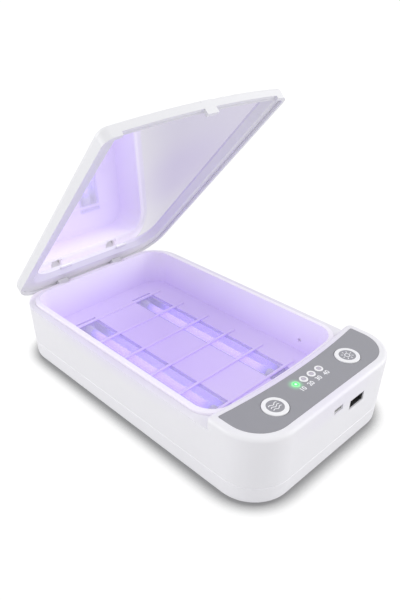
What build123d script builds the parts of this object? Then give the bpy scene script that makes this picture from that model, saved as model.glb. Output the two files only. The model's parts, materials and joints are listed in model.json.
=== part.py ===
"""Clamshell box that cleans a phone with ultraviolet light.

Millimetres, +Z up, front (control block) towards -Y, hinge towards +Y.
The origin is the centre of the cover's flat underside; the feet stand proud of
it. The lid's pieces are drawn closed and then swung open by lid_open_angle.
"""

import os

from build123d import *

# --- outside form -----------------------------------------------------------
body_width = 130.0
body_length = 226.0
body_height = 47.0          # top of the control block and of the closed lid
ledge_step = 7.5            # from the top down to the ledge that the lid closes on
split_height = 12.0         # parting line of housing and bottom cover
corner_radius = 25.0        # plan corners
wall = 2.2
ledge_thickness = 3.0
block_depth = 39.0          # control block, front to rear, at the sides
block_edge_bow = 4.5        # how far that edge bows forward at the centre
block_rear_round = 4.0      # plan corners where the block meets the lid
top_fillet = 2.4
rim_fillet = 0.7
base_fillet = 2.6
seam_chamfer = 0.35
tongue_thickness = 1.2
tongue_rise = 2.0

# --- chamber ----------------------------------------------------------------
chamber_side_margin = 8.0
chamber_back_margin = 9.0
chamber_front_shelf = 4.0   # from the block's rear edge to the chamber
chamber_corner = 14.0
chamber_floor = 15.0
liner_wall = 1.6
lip_width = 3.2             # raised rim of the liner
lip_rise = 1.8              # its height above the ledge
lip_seat = 1.4              # depth of its seat in the ledge
liner_fit = 0.2

# --- lamps ------------------------------------------------------------------
lamp_x = 27.0
lamp_shift = 2.0            # behind the middle of the chamber
lamp_length = 132.0
lamp_diameter = 5.0
lamp_height = 10.6          # axis
lamp_cap_length = 7.0
lamp_cap_diameter = 6.2
lamp_cap_overhang = 1.5
lamp_glass = 0.6
electrode_length = 3.0
electrode_diameter = 1.6
trough_width = 15.0
trough_end_gap = 4.0
trough_floor = 6.4
trough_wall = 2.4
reflector_sheet = 0.5
window_thickness = 1.2
window_land = 1.6
rest_rib_width = 2.0
rest_rib_height = 1.2
rest_rib_overhang = 3.0     # outer ribs beyond the ends of the lamps, together
rest_rib_count = 6
rest_rib_side_gap = 13.0

# --- lid --------------------------------------------------------------------
lid_open_angle = 46.5       # as photographed
hinge_inset = 4.5           # axis, in from the back
swing_radius = 8.5          # axis, below the ledge
seam_gap = 0.3
lid_front_gap = 0.5
lid_wall = 2.2
lid_skin = 1.3
lid_front_round = 6.0       # plan corners at its free edge
lid_side_relief = 10.0      # inner rim steps up this far in from the side
bezel_rim = 8.6             # outside of the lid to the bezel's mouth
bezel_slope = 5.0
bezel_front_cut = 4.6       # the bezel is this much narrower at the lid's free edge
bezel_fit = 0.25
bezel_corner = 14.0
bezel_lap = 2.0             # bezel under the edge of the mirror
bezel_back_slope = 3.0
bezel_web = 0.9             # strip that covers the feet of the hinge arms
bezel_clip_reach = 2.5      # clips of the bezel over the rear edge of the mirror
bezel_clip_thickness = 0.8
mirror_thickness = 0.8
mirror_back_margin = 19.0
tab_width = 8.0
tab_drop = 3.3              # below the lid's front wall
tab_gap = 0.5
magnet_diameter = 1.6
magnet_length = 4.0

# --- hinges -----------------------------------------------------------------
hinge_x = 25.0
arm_width = 8.0
arm_thickness = 4.2
eye_radius = 2.5
pin_diameter = 2.0
pin_fit = 0.03              # radial running clearance
slot_clearance = 0.5
slot_drop = 1.7             # slot below the axis; its edge stops the arm at 79 degrees
bracket_cheek = 2.6
bracket_reach = 2.6         # in front of the axis
bracket_web = 1.6
bracket_drop = 5.0
arm_foot_length = 16.2
arm_foot_thickness = 2.0
foot_proud = 1.2
foot_round = 0.4
foot_fit = 0.2
hinge_screw_offsets = (3.2, 8.7)    # behind the mirror
hinge_screw_head = 3.4
hinge_screw_head_height = 0.9
hinge_screw_grip = 0.9      # length held in the lid skin
hinge_screw_diameter = 1.6

# --- controls ---------------------------------------------------------------
panel_margin = 5.0
panel_back_margin = 4.4
panel_thickness = 0.8
panel_fit = 0.15
panel_corner = 1.0
button_side_inset = 32.0
button_front_inset = 18.5
button_diameter = 15.0
button_inlay_diameter = 10.0
button_gap = 0.35
button_inlay_thickness = 0.6
inlay_sink = 0.1            # inlay below the rim of its ring
button_proud = 0.5
button_travel = 0.6
button_skirt = 1.6          # width of the flange that keeps the cap in
button_skirt_height = 1.2
stem_diameter = 4.0
rest_gap = 0.05             # flange to the ceiling that stops it
led_count = 4
led_pitch = 7.0
led_front_inset = 22.5
led_ring = 5.2
led_lens = 3.0
led_fit = 0.05
led_ring_height = 0.35
led_flange = 4.4
led_flange_height = 1.0
led_chip = (1.6, 1.6, 0.8)
led_chip_gap = 0.3

# --- electronics ------------------------------------------------------------
board_side_gap = 15.0
board_front_gap = 6.0
board_length = 25.0
board_post_rise = 7.9       # posts that hang from the block top
board_thickness = 1.6
board_post_inset = 4.0
board_post_diameter = 5.0
tact_size = 6.0
tact_height = 3.4
tact_plunger_diameter = 3.4
tact_plunger_rise = 1.0
tact_plunger_depth = 0.6    # part of the plunger inside the switch
tact_bore = 4.1
tact_bore_spare = 0.2       # left under the plunger when it is pressed
lid_sensor = (3.0, 2.0, 1.0)
lid_sensor_inset = 1.6
usb_x = 18.9
usb_width = 13.2
usb_height = 5.8
usb_depth = 15.0
usb_sheet = 0.4
usb_tongue = 1.8
usb_rear_block = 4.0
charge_width = 7.6
charge_height = 2.8
charge_depth = 8.0
charge_sheet = 0.3
charge_leaf = 0.7
charge_rear_block = 2.0
charge_notch_gap = 0.1
port_gap = 0.4
port_recess = 0.5
port_tongue_setback = 2.0
inverter_length = 60.0
inverter_width = 22.0
inverter_front_inset = 17.0
inverter_z = 9.0
inverter_screw_inset = 4.0
inverter_post_diameter = 5.0
transformer_size = (15.0, 13.0, 9.0)
transformer_x = 11.0
capacitor_diameter = 8.0
capacitor_height = 12.0
capacitor_x = -5.0
wire_diameter = 1.4
wire_hole = 2.2
wire_bend = 3.0
wire_landing = 3.0          # length that lies on the driver board
wire_lane_x = 40.0          # lane beside the trough for the return wire
wire_turn = 8.0             # run past the lamp before it turns
control_wire_count = 3
control_wire_pitch = 2.0
header_size = (7.0, 4.0, 3.0)
header_x = -19.0
header_offset = 6.0         # behind the middle of the driver board

# --- aroma pad --------------------------------------------------------------
aroma_setback = 29.2        # behind the control block
aroma_z = 23.2
aroma_hole = 2.6
aroma_pad = (3.2, 14.0, 11.0)

# --- feet and screws --------------------------------------------------------
foot_side_inset = 17.0
foot_end_inset = 15.0
foot_diameter = 11.0
foot_thickness = 2.0
cover_screw_inset = 6.0     # inside the chamber wall
cover_screw_setbacks = (57.0, 37.0)     # from the front and from the back
front_screw_side_inset = 12.0
front_screw_front_inset = 25.0
screw_diameter = 2.6
screw_head = 5.0
screw_head_height = 1.8
screw_post_diameter = 6.4
screw_post_length = 5.0
screw_grip = 9.0
post_rib_width = 2.0
screw_fit = 0.05            # radial, also round the head
screw_relief = 0.3          # radial, through the cover
screw_recess = 0.6          # head below the underside
board_screw_diameter = 2.0
board_screw_head = 3.8
board_screw_head_height = 1.3
board_screw_grip = 5.0
post_gap = 0.2

# --- worked out -------------------------------------------------------------
half_width = body_width / 2
half_length = body_length / 2
ledge_height = body_height - ledge_step
ledge_underside = ledge_height - ledge_thickness
block_ceiling = body_height - wall
block_edge_y = block_depth - half_length
arc_radius = (half_width**2 + block_edge_bow**2) / (2 * block_edge_bow)
arc_centre_y = block_edge_y - block_edge_bow + arc_radius
cover_floor = wall

chamber_half_width = half_width - chamber_side_margin
chamber_back_y = half_length - chamber_back_margin
lip_top = ledge_height + lip_rise
liner_post_bottom = chamber_floor - liner_wall - screw_post_length
lamp_y = (block_edge_y + chamber_back_y) / 2 + lamp_shift
trough_top = chamber_floor - window_thickness
rest_rib_pitch = (lamp_length + rest_rib_overhang) / (rest_rib_count - 1)
rest_rib_half_length = chamber_half_width - rest_rib_side_gap
aroma_y = block_edge_y + aroma_setback

lid_bottom = ledge_height + seam_gap
lid_inner_bottom = lip_top + seam_gap
mirror_top = body_height - lid_skin
mirror_bottom = mirror_top - mirror_thickness
mirror_back_y = half_length - mirror_back_margin
magnet_z = lid_inner_bottom - tab_drop / 2
hinge_y = half_length - hinge_inset
hinge_z = ledge_height - swing_radius
closed_pivot = Pos(0, hinge_y, hinge_z)
bracket_front_y = hinge_y - bracket_reach
hinge_screw_ys = [mirror_back_y + offset for offset in hinge_screw_offsets]
arm_foot_back = hinge_y + arm_thickness / 2
arm_foot_front = arm_foot_back - arm_foot_length

panel_bottom = body_height - panel_thickness
button_x = half_width - button_side_inset
button_y = button_front_inset - half_length
led_y = led_front_inset - half_length
board_half_width = half_width - board_side_gap
board_front_y = board_front_gap - half_length
board_back_y = board_front_y + board_length
board_top = block_ceiling - board_post_rise
board_bottom = board_top - board_thickness
board_post_x = board_half_width - board_post_inset
board_post_ys = (board_front_y + board_post_inset, board_back_y - board_post_inset)
lid_sensor_y = board_back_y - lid_sensor_inset
charge_bottom = board_bottom    # the socket sits in a notch of the board
tact_top = board_top + tact_height
tact_bore_depth = tact_plunger_depth + button_travel + tact_bore_spare
plunger_top = tact_top + tact_plunger_rise

inverter_y = inverter_front_inset - half_length
inverter_top = inverter_z + board_thickness
wire_height = inverter_top + wire_diameter / 2
header_y = inverter_y + header_offset

foot_x = half_width - foot_side_inset
foot_y = half_length - foot_end_inset
cover_screw_x = chamber_half_width - cover_screw_inset
cover_screw_ys = (
    cover_screw_setbacks[0] - half_length, half_length - cover_screw_setbacks[1]
)
front_screw_x = half_width - front_screw_side_inset
front_screw_y = front_screw_front_inset - half_length


# --- shared outlines ---------------------------------------------------------
def at(x, y, z):
    return Pos(x, y, z)


def block(x0, x1, y0, y1, z0, z1):
    """Box between two corners."""
    centre = at((x0 + x1) / 2, (y0 + y1) / 2, (z0 + z1) / 2)
    return centre * Box(abs(x1 - x0), abs(y1 - y0), abs(z1 - z0))


def rod(x, y, z0, z1, diameter):
    """Upright cylinder between two heights."""
    return at(x, y, (z0 + z1) / 2) * Cylinder(diameter / 2, abs(z1 - z0))


def rod_x(x0, x1, y, z, diameter):
    """Cylinder along X."""
    lying = Rot(0, 90, 0) * Cylinder(diameter / 2, abs(x1 - x0))
    return at((x0 + x1) / 2, y, z) * lying


def rod_y(x, y0, y1, z, diameter):
    """Cylinder along Y."""
    lying = Rot(90, 0, 0) * Cylinder(diameter / 2, abs(y1 - y0))
    return at(x, (y0 + y1) / 2, z) * lying


def raise_plan(plan, z0, z1):
    """Solid that stands on an outline, from z0 to z1."""
    return at(0, 0, z0) * extrude(plan, z1 - z0)


def body_plan(inset=0.0):
    return RectangleRounded(
        body_width - 2 * inset, body_length - 2 * inset, corner_radius - inset
    )


def behind_edge(shift=0.0):
    """Everything behind the bowed rear edge of the block, moved back by shift."""
    return Pos(0, arc_centre_y) * Circle(arc_radius - shift)


def lid_plan(inset=0.0):
    plan = body_plan(inset) & behind_edge(lid_front_gap + inset)
    return fillet(plan.vertices().sort_by(Axis.Y)[:2], lid_front_round - inset)


def chamber_plan(grow=0.0):
    """Mouth of the chamber, grown outwards."""
    front = block_edge_y - 2 * block_edge_bow
    back = chamber_back_y + grow
    width = 2 * (chamber_half_width + grow)
    slab = Pos(0, (front + back) / 2) * Rectangle(width, back - front)
    mouth = slab & behind_edge(chamber_front_shelf - grow)
    return fillet(mouth.vertices(), chamber_corner + grow)


def panel_plan(inset=0.0):
    plate = body_plan(panel_margin + inset) - behind_edge(-panel_back_margin - inset)
    rear = plate.vertices().sort_by(Axis.Y)[-2:]
    return fillet(rear, panel_corner)


def post_places():
    return [(s * board_post_x, y) for s in (-1, 1) for y in board_post_ys]


def cover_screw_places():
    rear = [(s * cover_screw_x, y) for s in (-1, 1) for y in cover_screw_ys]
    return rear


def front_screw_places():
    return [(s * front_screw_x, front_screw_y) for s in (-1, 1)]


def led_places():
    first = -led_pitch * (led_count - 1) / 2
    return [first + n * led_pitch for n in range(led_count)]


def hinge_slot(side, clearance):
    """Space that a hinge arm sweeps: from the chamber wall out through the back."""
    half = arm_width / 2 + clearance
    return block(
        side * hinge_x - half, side * hinge_x + half,
        chamber_back_y + liner_wall + 0.1, half_length + 1,
        hinge_z - slot_drop, lip_top + 1,
    )


# --- housing -----------------------------------------------------------------
def housing_skin():
    """Outer form: body outline, cut down to the ledge behind the block."""
    skin = raise_plan(body_plan(), split_height, body_height)
    skin -= raise_plan(behind_edge(), ledge_height, body_height + 1)
    upright = skin.edges().filter_by(Axis.Z)
    skin = fillet([e for e in upright if e.center().Z > ledge_height], block_rear_round)
    skin = fillet(skin.faces().sort_by(Axis.Z)[-1].edges(), top_fillet)
    bottom = skin.faces().sort_by(Axis.Z)[0]
    skin = chamfer(bottom.edges(), seam_chamfer)
    # the rear edge is rounded about the hinge axis, so that the lid swings clear
    corner = block(
        -half_width - 1, half_width + 1, hinge_y, half_length + 1, hinge_z, body_height
    )
    corner -= rod_x(-half_width - 2, half_width + 2, hinge_y, hinge_z, 2 * swing_radius)
    return skin - corner


def upper_housing():
    shell = housing_skin()
    room = body_plan(wall)
    under_block = room - behind_edge(-wall)
    shell -= raise_plan(room, split_height - 1, ledge_height - ledge_thickness)
    shell -= raise_plan(under_block, split_height, block_ceiling)
    # seat and opening for the chamber liner
    shell -= raise_plan(
        chamber_plan(liner_wall + liner_fit), split_height, ledge_height + 1
    )
    shell -= raise_plan(
        chamber_plan(lip_width + liner_fit), ledge_height - lip_seat, ledge_height + 1
    )
    # recess for the overlay
    shell -= raise_plan(panel_plan(-panel_fit), panel_bottom, body_height + 1)
    # button and light holes through the block top
    for side in (-1, 1):
        hole = button_diameter + 2 * button_gap
        shell -= rod(side * button_x, button_y, block_ceiling - 1, body_height, hole)
        shell -= hinge_slot(side, slot_clearance)
    for x in led_places():
        hole = led_lens + 2 * led_fit
        shell -= rod(x, led_y, block_ceiling - 1, body_height, hole)
    # latch slot behind the block
    shell -= tab_slot()
    # sockets in the front face
    shell -= port_mouth(usb_x, usb_width, board_bottom - usb_height, usb_height)
    shell -= port_mouth(0.0, charge_width, charge_bottom, charge_height)
    # posts for the control board
    for x, y in post_places():
        shell += rod(x, y, board_top, block_ceiling, board_post_diameter)
        hole = board_screw_diameter + 2 * screw_fit
        shell -= rod(x, y, board_top, block_ceiling - 1, hole)
    # posts for the front cover screws, tied to the side walls
    for x, y in front_screw_places():
        side = 1 if x > 0 else -1
        foot = split_height + post_gap
        top = board_bottom - 2
        rib_half = post_rib_width / 2
        shell += rod(x, y, foot, top, screw_post_diameter)
        shell += block(
            x, side * (half_width - wall / 2), y - rib_half, y + rib_half,
            split_height + tongue_rise + post_gap, top,
        )
        shell -= rod(x, y, foot, foot + screw_grip, screw_diameter + 2 * screw_fit)
    return shell


def port_mouth(x, width, bottom, height):
    """Opening in the front wall round a socket."""
    half = width / 2 + port_gap
    return block(
        x - half, x + half, -half_length - 1, -half_length + wall + 1,
        bottom - port_gap, bottom + height + port_gap,
    )


def tab_y():
    """Middle of the latch tab, in the lid's front wall."""
    return block_edge_y - block_edge_bow + lid_front_gap + lid_wall / 2


def tab_slot():
    half_x = tab_width / 2 + tab_gap
    half_y = lid_wall / 2 + tab_gap
    return block(
        -half_x, half_x, tab_y() - half_y, tab_y() + half_y,
        ledge_height - ledge_thickness - 1, lip_top + 1,
    )


def bottom_cover():
    cover = raise_plan(body_plan(), 0, split_height)
    cover = fillet(cover.faces().sort_by(Axis.Z)[0].edges(), base_fillet)
    cover = chamfer(cover.faces().sort_by(Axis.Z)[-1].edges(), seam_chamfer)
    cover -= raise_plan(body_plan(wall), cover_floor, split_height + 1)
    # tongue that lines the cover up inside the housing
    inside = wall + post_gap
    tongue = body_plan(inside) - body_plan(inside + tongue_thickness)
    root = body_plan(wall) - body_plan(inside + tongue_thickness)
    cover += raise_plan(root, split_height - tongue_rise, split_height - 1)
    cover += raise_plan(tongue, split_height - 1, split_height + tongue_rise)
    # screw posts
    post = screw_post_diameter + 2
    for x, y in cover_screw_places():
        cover += rod(x, y, 0, liner_post_bottom - post_gap, post)
    for x, y in front_screw_places():
        cover += rod(x, y, 0, split_height, post)
    seat = screw_recess + screw_head_height
    for x, y in cover_screw_places() + front_screw_places():
        cover -= rod(x, y, -1, seat, screw_head + 2 * screw_relief)
        cover -= rod(x, y, 0, split_height + 1, screw_diameter + 2 * screw_relief)
    # posts for the lamp driver board
    for x, y in inverter_posts():
        cover += rod(x, y, cover_floor, inverter_z, inverter_post_diameter)
        cover -= rod(
            x, y, cover_floor + 1, inverter_z, board_screw_diameter + 2 * screw_fit
        )
    for x, y in foot_places():
        recess = foot_thickness - foot_proud
        cover -= rod(x, y, -1, recess, foot_diameter + 2 * foot_fit)
    return cover


def foot_places():
    return [(sx * foot_x, sy * foot_y) for sx in (-1, 1) for sy in (-1, 1)]


def inverter_posts():
    half = inverter_length / 2 - inverter_screw_inset
    return [(-half, inverter_y), (half, inverter_y)]


# --- chamber -----------------------------------------------------------------
def trough_ends(margin):
    """Front and back of a lamp trough, widened by a margin."""
    half = lamp_length / 2 + trough_end_gap + margin
    return lamp_y - half, lamp_y + half


def trough_block(side, half, margin, z0, z1):
    y0, y1 = trough_ends(margin)
    return block(side * lamp_x - half, side * lamp_x + half, y0, y1, z0, z1)


def chamber_liner():
    shell = raise_plan(chamber_plan(liner_wall), chamber_floor - liner_wall, lip_top)
    lip = raise_plan(chamber_plan(lip_width), ledge_height - lip_seat, lip_top)
    shell += fillet(lip.faces().sort_by(Axis.Z)[-1].edges(), rim_fillet)
    half = trough_width / 2
    for side in (-1, 1):
        bottom = trough_floor - liner_wall
        shell += trough_block(side, half + trough_wall, trough_wall, bottom, chamber_floor)
    shell -= raise_plan(chamber_plan(), chamber_floor, lip_top + 1)
    for side in (-1, 1):
        shell -= trough_block(side, half, 0, trough_floor, chamber_floor + 1)
        shell -= trough_block(
            side, half + window_land, window_land, trough_top, chamber_floor + 1
        )
        y0, y1 = trough_ends(trough_wall + 1)
        shell -= rod_y(side * lamp_x, y0, y1, wire_height, wire_hole)
        shell -= hinge_slot(side, slot_clearance)
    shell -= tab_slot()
    for x, y in cover_screw_places():
        shell += rod(
            x, y, liner_post_bottom, chamber_floor - liner_wall, screw_post_diameter
        )
        hole = screw_diameter + 2 * screw_fit
        shell -= rod(x, y, liner_post_bottom, chamber_floor - liner_wall, hole)
    # outlet of the aroma pad in the right wall
    shell -= rod_x(
        chamber_half_width - 1, chamber_half_width + liner_wall + 1,
        aroma_y, aroma_z, aroma_hole,
    )
    return shell


def rest_ribs():
    """Raised bars on the windows and floor that the phone lies on."""
    bars = []
    for n in range(rest_rib_count):
        y = lamp_y + (n - (rest_rib_count - 1) / 2) * rest_rib_pitch
        bar = block(
            -rest_rib_half_length, rest_rib_half_length,
            y - rest_rib_width / 2, y + rest_rib_width / 2,
            chamber_floor, chamber_floor + rest_rib_height,
        )
        bars.append(fillet(bar.faces().sort_by(Axis.Z)[-1].edges(), rest_rib_width / 4))
    return bars


def aroma_felt():
    depth, length, height = aroma_pad
    x0 = chamber_half_width + liner_wall
    return block(
        x0, x0 + depth, aroma_y - length / 2, aroma_y + length / 2,
        aroma_z - height / 2, aroma_z + height / 2,
    )


# --- lamps -------------------------------------------------------------------
def lamp_ends():
    return lamp_y - lamp_length / 2, lamp_y + lamp_length / 2


def lamp_tube(side):
    y0, y1 = lamp_ends()
    x = side * lamp_x
    tube = rod_y(x, y0, y1, lamp_height, lamp_diameter)
    bore = rod_y(x, y0 + 1, y1 - 1, lamp_height, lamp_diameter - 2 * lamp_glass)
    return tube - bore


def lamp_electrodes():
    """Metal cups inside both ends of each tube."""
    cups = []
    for side in (-1, 1):
        for end, inward in zip(lamp_ends(), (1, -1)):
            start = end + inward
            stop = start + inward * electrode_length
            cups.append(
                rod_y(side * lamp_x, start, stop, lamp_height, electrode_diameter)
            )
    return cups


def lamp_caps():
    """Rubber caps that hold the tubes in their troughs."""
    caps = []
    for side in (-1, 1):
        for end, inward in zip(lamp_ends(), (1, -1)):
            outer = end - inward * lamp_cap_overhang
            inner = outer + inward * lamp_cap_length
            x = side * lamp_x
            cap = rod_y(x, outer, inner, lamp_height, lamp_cap_diameter)
            cradle_half = lamp_cap_diameter / 2
            cap += block(
                x - cradle_half, x + cradle_half, outer, inner,
                trough_floor + reflector_sheet, lamp_height,
            )
            cap -= rod_y(x, end, inner, lamp_height, lamp_diameter)
            caps.append(cap)
    return caps


def lamp_reflectors():
    """Bent sheets that line the troughs."""
    sheets = []
    half = trough_width / 2
    for side in (-1, 1):
        sheet = trough_block(side, half, 0, trough_floor, trough_top)
        sheet -= trough_block(
            side, half - reflector_sheet, 1, trough_floor + reflector_sheet, trough_top + 1
        )
        y0, y1 = trough_ends(1)
        sheets.append(sheet - rod_y(side * lamp_x, y0, y1, wire_height, wire_hole))
    return sheets


def lamp_window(side):
    fit = panel_fit
    half = trough_width / 2 + window_land - fit
    return trough_block(side, half, window_land - fit, trough_top, chamber_floor)


# --- lid, drawn closed ---------------------------------------------------------
def swing_open(shape):
    """Turn a piece of the closed lid about the hinge to the photographed angle."""
    return closed_pivot * Rot(-lid_open_angle, 0, 0) * closed_pivot.inverse() * shape


def lid_shell():
    shell = raise_plan(lid_plan(), lid_bottom, body_height)
    shell = fillet(shell.faces().sort_by(Axis.Z)[-1].edges(), top_fillet)
    shell -= raise_plan(lid_plan(lid_wall), lid_bottom - 1, mirror_top)
    # the front wall is cut back between the corners, over the liner's rim
    reach = half_width - lid_side_relief
    front = raise_plan(
        lid_plan() - lid_plan(lid_wall), lid_bottom - 1, lid_inner_bottom
    )
    shell -= front & block(-reach, reach, -half_length, 0, 0, body_height)
    # latch tab with its magnet
    tab = raise_plan(
        lid_plan() - lid_plan(lid_wall), lid_inner_bottom - tab_drop, body_height - 1
    )
    half_tab = tab_width / 2
    tab = tab & block(-half_tab, half_tab, -half_length, 0, 0, body_height)
    shell += tab
    # blind holes for the screws of the hinge arms
    for side in (-1, 1):
        for y in hinge_screw_ys:
            hole = hinge_screw_diameter + 2 * screw_fit
            tip = mirror_top + hinge_screw_grip + screw_fit
            shell -= rod(side * hinge_x, y, mirror_top, tip, hole)
    return shell - magnet_shape()


def magnet_shape():
    return rod_x(
        -magnet_length / 2, magnet_length / 2, tab_y(), magnet_z, magnet_diameter
    )


def mouth_plan(inset, back_y):
    """Opening of the bezel: parallel to the lid, but cut short at the back."""
    front = block_edge_y - 2 * block_edge_bow
    middle = (front + back_y) / 2
    slab = Pos(0, middle) * Rectangle(body_width - 2 * inset, back_y - front)
    mouth = slab & behind_edge(lid_front_gap + inset - bezel_front_cut)
    return fillet(mouth.vertices().sort_by(Axis.Y)[-2:], bezel_corner)


def arm_channel(side, front, z0):
    """Clearance for a hinge arm in the lid, from front to the rear wall."""
    half = arm_width / 2 + slot_clearance
    x = side * hinge_x
    return block(x - half, x + half, front, half_length, z0, body_height)


def lid_bezel():
    ring = raise_plan(lid_plan(lid_wall + bezel_fit), lid_inner_bottom, mirror_bottom)
    low = Pos(0, 0, lid_inner_bottom) * mouth_plan(
        bezel_rim, mirror_back_y - bezel_lap + bezel_back_slope
    )
    high = Pos(0, 0, mirror_bottom) * mouth_plan(
        bezel_rim + bezel_slope, mirror_back_y - bezel_lap
    )
    ring -= loft([low.face(), high.face()])
    upright_front = hinge_y - arm_thickness / 2 - slot_clearance
    clip_back = mirror_back_y - bezel_lap
    for side in (-1, 1):
        half = arm_width / 2 + slot_clearance
        ring += block(
            side * hinge_x - half, side * hinge_x + half,
            clip_back - bezel_clip_reach, clip_back + bezel_lap,
            mirror_bottom - bezel_clip_thickness, mirror_bottom,
        )
        ring -= arm_channel(side, arm_foot_front - foot_fit, lid_inner_bottom + bezel_web)
        ring -= arm_channel(side, upright_front, lid_bottom)
    return ring


def lid_mirror():
    inset = bezel_rim + bezel_slope - bezel_lap
    return raise_plan(mouth_plan(inset, mirror_back_y), mirror_bottom, mirror_top)


def hinge_arm(side):
    """Eye on the pin, upright through the ledge, foot under the lid skin."""
    x0 = side * hinge_x - arm_width / 2
    x1 = side * hinge_x + arm_width / 2
    half = arm_thickness / 2
    arm = block(x0, x1, hinge_y - half, hinge_y + half, hinge_z, mirror_top)
    arm += rod_x(x0, x1, hinge_y, hinge_z, 2 * eye_radius)
    arm += block(
        x0, x1, arm_foot_front, arm_foot_back,
        mirror_top - arm_foot_thickness, mirror_top,
    )
    inner = arm.edges().filter_by(Axis.X).sort_by_distance(
        (side * hinge_x, hinge_y - half, mirror_top - arm_foot_thickness)
    )[0]
    arm = fillet(inner, arm_thickness / 2)
    arm -= rod_x(x0 - 1, x1 + 1, hinge_y, hinge_z, pin_diameter + 2 * pin_fit)
    for y in hinge_screw_ys:
        arm -= rod(
            side * hinge_x, y, mirror_top - arm_foot_thickness - 1, mirror_top,
            hinge_screw_diameter + 2 * screw_fit,
        )
    return arm


def screw(x, y, seat, tip, diameter, head, head_height):
    """Pan-head screw whose head bears at height seat, with a cross recess."""
    up = 1 if tip > seat else -1
    body = rod(x, y, seat, tip, diameter) + rod(x, y, seat - up * head_height, seat, head)
    outer = seat - up * head_height
    inner = outer + up * head_height / 2
    for dx, dy in ((head / 3, head / 12), (head / 12, head / 3)):
        body -= block(x - dx, x + dx, y - dy, y + dy, outer, inner)
    return body


def hinge_screws():
    seat = mirror_top - arm_foot_thickness
    return [
        screw(
            side * hinge_x, y, seat, mirror_top + hinge_screw_grip,
            hinge_screw_diameter, hinge_screw_head, hinge_screw_head_height,
        )
        for side in (-1, 1)
        for y in hinge_screw_ys
    ]


# --- hinge brackets --------------------------------------------------------------
def hinge_bracket(side):
    """Cheeks on both sides of the slot, joined by a web under the eye."""
    x = side * hinge_x
    slot = arm_width / 2 + slot_clearance
    half = slot + bracket_cheek
    bottom = hinge_z - bracket_drop
    back = half_length - wall
    body = block(x - half, x + half, bracket_front_y, back, bottom, ledge_underside)
    body -= block(
        x - slot, x + slot, bracket_front_y - 1, back + 1,
        bottom + bracket_web, ledge_underside + 1,
    )
    return body - hinge_pin(side, pin_fit)


def hinge_pin(side, grow=0.0):
    half = arm_width / 2 + slot_clearance + bracket_cheek
    x = side * hinge_x
    return rod_x(x - half, x + half, hinge_y, hinge_z, pin_diameter + 2 * grow)


# --- controls ----------------------------------------------------------------
def control_panel():
    plate = raise_plan(panel_plan(), panel_bottom, body_height)
    for side in (-1, 1):
        hole = button_diameter + 2 * button_gap
        plate -= rod(side * button_x, button_y, panel_bottom, body_height, hole)
    for x in led_places():
        plate -= rod(x, led_y, panel_bottom, body_height, led_ring + 2 * led_fit)
    return plate


def button_cap(side):
    """White ring cap with its keeping flange and the stem to the switch."""
    x = side * button_x
    top = body_height + button_proud
    flange_top = block_ceiling - rest_gap
    cap = rod(x, button_y, flange_top, top, button_diameter)
    cap = fillet(cap.faces().sort_by(Axis.Z)[-1].edges(), button_proud)
    cap += rod(
        x, button_y, flange_top - button_skirt_height, flange_top,
        button_diameter + 2 * button_skirt,
    )
    cap += rod(x, button_y, plunger_top, flange_top, stem_diameter)
    return cap - rod(x, button_y, top - button_inlay_thickness, top, button_inlay_diameter)


def button_inlay(side):
    top = body_height + button_proud
    x = side * button_x
    bottom = top - button_inlay_thickness
    return rod(x, button_y, bottom, top - inlay_sink, button_inlay_diameter)


def tact_plunger(side):
    x = side * button_x
    bottom = tact_top - tact_plunger_depth
    return rod(x, button_y, bottom, plunger_top, tact_plunger_diameter)


def tact_switches():
    bodies = []
    half = tact_size / 2
    for side in (-1, 1):
        x = side * button_x
        body = block(
            x - half, x + half, button_y - half, button_y + half, board_top, tact_top
        )
        bodies.append(body - rod(x, button_y, tact_top - tact_bore_depth, tact_top, tact_bore))
    return bodies


def led_ring_piece(x):
    ring = rod(x, led_y, panel_bottom, body_height + led_ring_height, led_ring)
    ring = fillet(ring.faces().sort_by(Axis.Z)[-1].edges(), led_ring_height / 2)
    return ring - rod(x, led_y, panel_bottom, body_height + 1, led_lens + 2 * led_fit)


def led_pipe(x):
    """Light pipe from the chip on the board to the lens in the ring."""
    chip_top = board_top + led_chip[2]
    pipe = rod(x, led_y, chip_top + led_chip_gap, body_height + led_ring_height / 2, led_lens)
    return pipe + rod(
        x, led_y, block_ceiling - led_flange_height, block_ceiling, led_flange
    )


def led_chips():
    width, length, height = led_chip
    return [
        block(
            x - width / 2, x + width / 2, led_y - length / 2, led_y + length / 2,
            board_top, board_top + height,
        )
        for x in led_places()
    ]


def control_board():
    board = block(
        -board_half_width, board_half_width, board_front_y, board_back_y,
        board_bottom, board_top,
    )
    for x, y in post_places():
        board -= rod(
            x, y, board_bottom, board_top, board_screw_diameter + 2 * screw_relief
        )
    # notch round the charging socket
    half = charge_width / 2 + charge_notch_gap
    socket_back = -half_length + port_recess + charge_depth
    return board - block(
        -half, half, board_front_y, socket_back, board_bottom, board_top
    )


def lid_sensor_piece():
    width, length, height = lid_sensor
    return block(
        -width / 2, width / 2, lid_sensor_y - length / 2, lid_sensor_y + length / 2,
        board_top, board_top + height,
    )


def port_shell(x, width, bottom, height, depth, sheet):
    """Pressed metal shell of a socket, open at the front."""
    y0 = -half_length + port_recess
    half = width / 2
    top = bottom + height
    shell = block(x - half, x + half, y0, y0 + depth, bottom, top)
    shell = fillet(shell.edges().filter_by(Axis.Y), sheet)
    return shell - block(
        x - half + sheet, x + half - sheet, y0, y0 + depth - sheet,
        bottom + sheet, top - sheet,
    )


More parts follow.
